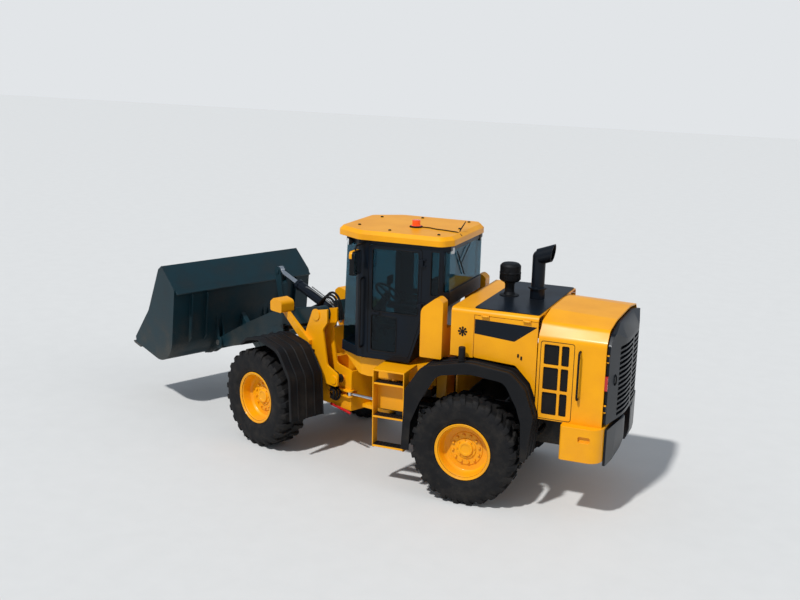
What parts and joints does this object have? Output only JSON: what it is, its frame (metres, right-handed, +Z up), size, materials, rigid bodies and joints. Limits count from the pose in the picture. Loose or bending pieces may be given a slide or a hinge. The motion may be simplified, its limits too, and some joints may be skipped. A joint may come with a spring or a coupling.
{
  "type": "articulated wheel loader",
  "caption": "Articulated wheel loader with a hollow cab, Z-bar lift linkage, general-purpose bucket, arched rear bonnet and lugged tyres.",
  "frame": {"origin": "on the ground, under the middle of the parked machine's overall box", "axes": "+X forward along the rear half, +Y to its left, +Z up"},
  "size_m": [7.7406, 4.108, 3.2822],
  "materials": {
    "yellow": "semi-gloss yellow paint",
    "dark_slate": "semi-gloss dark slate paint",
    "black_plastic": "matte black plastic",
    "dark_frame": "satin dark grey paint",
    "tyre": "dusty tyre rubber",
    "glass": "clear with a teal tint",
    "steel": "worn steel",
    "chrome": "hard chrome",
    "worn_edge": "worn hard steel",
    "engine_grey": "dusty cast iron",
    "fabric": "black woven seat cover",
    "lamp_red": "red lens",
    "beacon_orange": "orange-red lens"
  },
  "bodies": {
    "rear_half": {"rear_frame": "dark_frame", "rear_axle": "dark_frame", "pivot_pins": "steel", "counterweight": "yellow", "rear_bumper": "dark_slate", "engine": "engine_grey", "rear_fenders": "black_plastic", "side_tanks": "yellow", "hood_mid": "yellow", "deck_cover": "dark_slate", "rear_hood": "yellow", "vent_screens": "dark_slate", "rear_lamps": "lamp_red", "precleaner": "black_plastic", "exhaust_stack": "dark_slate", "cab_deck": "yellow", "cab_frame": "dark_slate", "cab_glass": "glass", "cab_roof": "yellow", "seat": "fabric", "console": "black_plastic", "ladders": "yellow", "handrails": "black_plastic", "mirrors": "black_plastic", "beacon": "beacon_orange"},
    "front_half": {"front_frame": "yellow", "front_axle": "dark_frame", "front_fenders": "black_plastic", "headlamps": "yellow", "tilt_pin": "steel"},
    "cab_door": {"cab_door": "dark_slate", "cab_door_glass": "glass"},
    "engine_door_left": {"engine_door_left": "yellow"},
    "engine_door_right": {"engine_door_right": "yellow"},
    "grille_door": {"grille_door": "dark_slate"},
    "steer_barrel_left": {"steer_barrel_left": "dark_slate"},
    "steer_barrel_right": {"steer_barrel_right": "dark_slate"},
    "steer_rod_left": {"steer_rod_left": "chrome"},
    "steer_rod_right": {"steer_rod_right": "chrome"},
    "boom": {"boom": "dark_slate"},
    "crank": {"crank": "dark_slate", "crank_pin": "steel"},
    "bucket": {"bucket": "dark_slate", "cutting_edge": "worn_edge", "hinge_pins": "steel", "link_pin": "steel"},
    "link": {"link": "dark_slate"},
    "tilt_barrel": {"tilt_barrel": "dark_slate"},
    "tilt_rod": {"tilt_rod": "chrome"},
    "lift_barrels": {"lift_barrels": "dark_slate"},
    "lift_rods": {"lift_rods": "chrome"},
    "wheel_front_left": {"rim_front_left": "yellow", "tyre_front_left": "tyre"},
    "wheel_front_right": {"rim_front_right": "yellow", "tyre_front_right": "tyre"},
    "wheel_rear_left": {"rim_rear_left": "yellow", "tyre_rear_left": "tyre"},
    "wheel_rear_right": {"rim_rear_right": "yellow", "tyre_rear_right": "tyre"}
  },
  "joints": [
    {"name": "articulation", "type": "hinge", "parent": "rear_half", "child": "front_half", "pos_m": [-0.625, 0.89, 0.86], "axis": [0, 0, 1], "range_deg": [-15.8, 64.2]},
    {"name": "boom_lift", "type": "hinge", "parent": "front_half", "child": "boom", "pos_m": [0.17767, 0.52927, 1.87], "axis": [-0.4099, -0.9121, 0], "range_deg": [-17, 69]},
    {"name": "bucket_tilt", "type": "hinge", "parent": "boom", "child": "bucket", "pos_m": [2.34057, -0.44278, 0.95974], "axis": [0.4099, 0.9121, 0], "range_deg": [-44, 120]},
    {"name": "crank_turn", "type": "hinge", "parent": "boom", "child": "crank", "pos_m": [1.36342, -0.00363, 1.38], "axis": [-0.4099, -0.9121, 0], "range_deg": [-8, 20]},
    {"name": "link_turn", "type": "hinge", "parent": "bucket", "child": "link", "pos_m": [2.24911, -0.40168, 1.1429], "axis": [-0.4099, -0.9121, 0], "range_deg": [-32, 85]},
    {"name": "tilt_base_turn", "type": "hinge", "parent": "front_half", "child": "tilt_barrel", "pos_m": [0.21415, 0.51287, 1.72], "axis": [-0.4099, -0.9121, 0], "range_deg": [-17, 66]},
    {"name": "tilt_stroke", "type": "slide", "parent": "tilt_barrel", "child": "tilt_rod", "axis": [0.8723, -0.392, 0.2922], "range_m": [-0.24, 0.09]},
    {"name": "lift_base_turn", "type": "hinge", "parent": "front_half", "child": "lift_barrels", "pos_m": [-0.16894, 0.68504, 1.05], "axis": [-0.4099, -0.9121, 0], "range_deg": [-10, 38]},
    {"name": "lift_stroke", "type": "slide", "parent": "lift_barrels", "child": "lift_rods", "axis": [0.8879, -0.399, 0.2289], "range_m": [-0.165, 0.655]},
    {"name": "steer_base_left", "type": "hinge", "parent": "rear_half", "child": "steer_barrel_left", "pos_m": [-1.325, 1.29, 0.86], "axis": [0, 0, 1], "range_deg": [-6, 21.5]},
    {"name": "steer_stroke_left", "type": "slide", "parent": "steer_barrel_left", "child": "steer_rod_left", "axis": [0.9831, -0.1833, 0], "range_m": [-0.415, 0.105]},
    {"name": "steer_base_right", "type": "hinge", "parent": "rear_half", "child": "steer_barrel_right", "pos_m": [-1.325, 0.49, 0.86], "axis": [0, 0, 1], "range_deg": [-6, 21.5]},
    {"name": "steer_stroke_right", "type": "slide", "parent": "steer_barrel_right", "child": "steer_rod_right", "axis": [0.9963, -0.0859, 0], "range_m": [-0.105, 0.415]},
    {"name": "wheel_front_left_spin", "type": "hinge", "parent": "front_half", "child": "wheel_front_left", "pos_m": [1.08085, 1.14844, 0.675], "axis": [0.4099, 0.9121, 0], "continuous": true},
    {"name": "wheel_front_right_spin", "type": "hinge", "parent": "front_half", "child": "wheel_front_right", "pos_m": [0.3143, -0.55722, 0.675], "axis": [0.4099, 0.9121, 0], "continuous": true},
    {"name": "wheel_rear_left_spin", "type": "hinge", "parent": "rear_half", "child": "wheel_rear_left", "pos_m": [-2.075, 1.825, 0.675], "axis": [0, 1, 0], "continuous": true},
    {"name": "wheel_rear_right_spin", "type": "hinge", "parent": "rear_half", "child": "wheel_rear_right", "pos_m": [-2.075, -0.045, 0.675], "axis": [0, 1, 0], "continuous": true},
    {"name": "cab_door_swing", "type": "hinge", "parent": "rear_half", "child": "cab_door", "pos_m": [-1.331, 1.61, 2.2999], "axis": [0, 0, 1], "range_deg": [0, 80]},
    {"name": "engine_door_left_lift", "type": "hinge", "parent": "rear_half", "child": "engine_door_left", "pos_m": [-2.48, 1.808, 2.333], "axis": [1, 0, 0], "range_deg": [0, 60]},
    {"name": "engine_door_right_lift", "type": "hinge", "parent": "rear_half", "child": "engine_door_right", "pos_m": [-2.48, -0.028, 2.333], "axis": [-1, 0, 0], "range_deg": [0, 60]},
    {"name": "grille_door_swing", "type": "hinge", "parent": "rear_half", "child": "grille_door", "pos_m": [-3.705, 1.774, 1.8], "axis": [0, 0, -1], "range_deg": [0, 100]}
  ],
  "couplings": [
    {"joint": "crank_turn", "follows": "bucket_tilt", "ratio": 0.16},
    {"joint": "link_turn", "follows": "bucket_tilt", "ratio": 0.7},
    {"joint": "tilt_base_turn", "follows": "boom_lift", "ratio": 0.94},
    {"joint": "tilt_stroke", "follows": "bucket_tilt", "m_per_rad": -0.111},
    {"joint": "lift_base_turn", "follows": "boom_lift", "ratio": 0.538},
    {"joint": "lift_stroke", "follows": "boom_lift", "m_per_rad": 0.54},
    {"joint": "steer_base_left", "follows": "articulation", "ratio": 0.32},
    {"joint": "steer_stroke_left", "follows": "articulation", "m_per_rad": -0.365},
    {"joint": "steer_base_right", "follows": "articulation", "ratio": 0.32},
    {"joint": "steer_stroke_right", "follows": "articulation", "m_per_rad": 0.365}
  ]
}
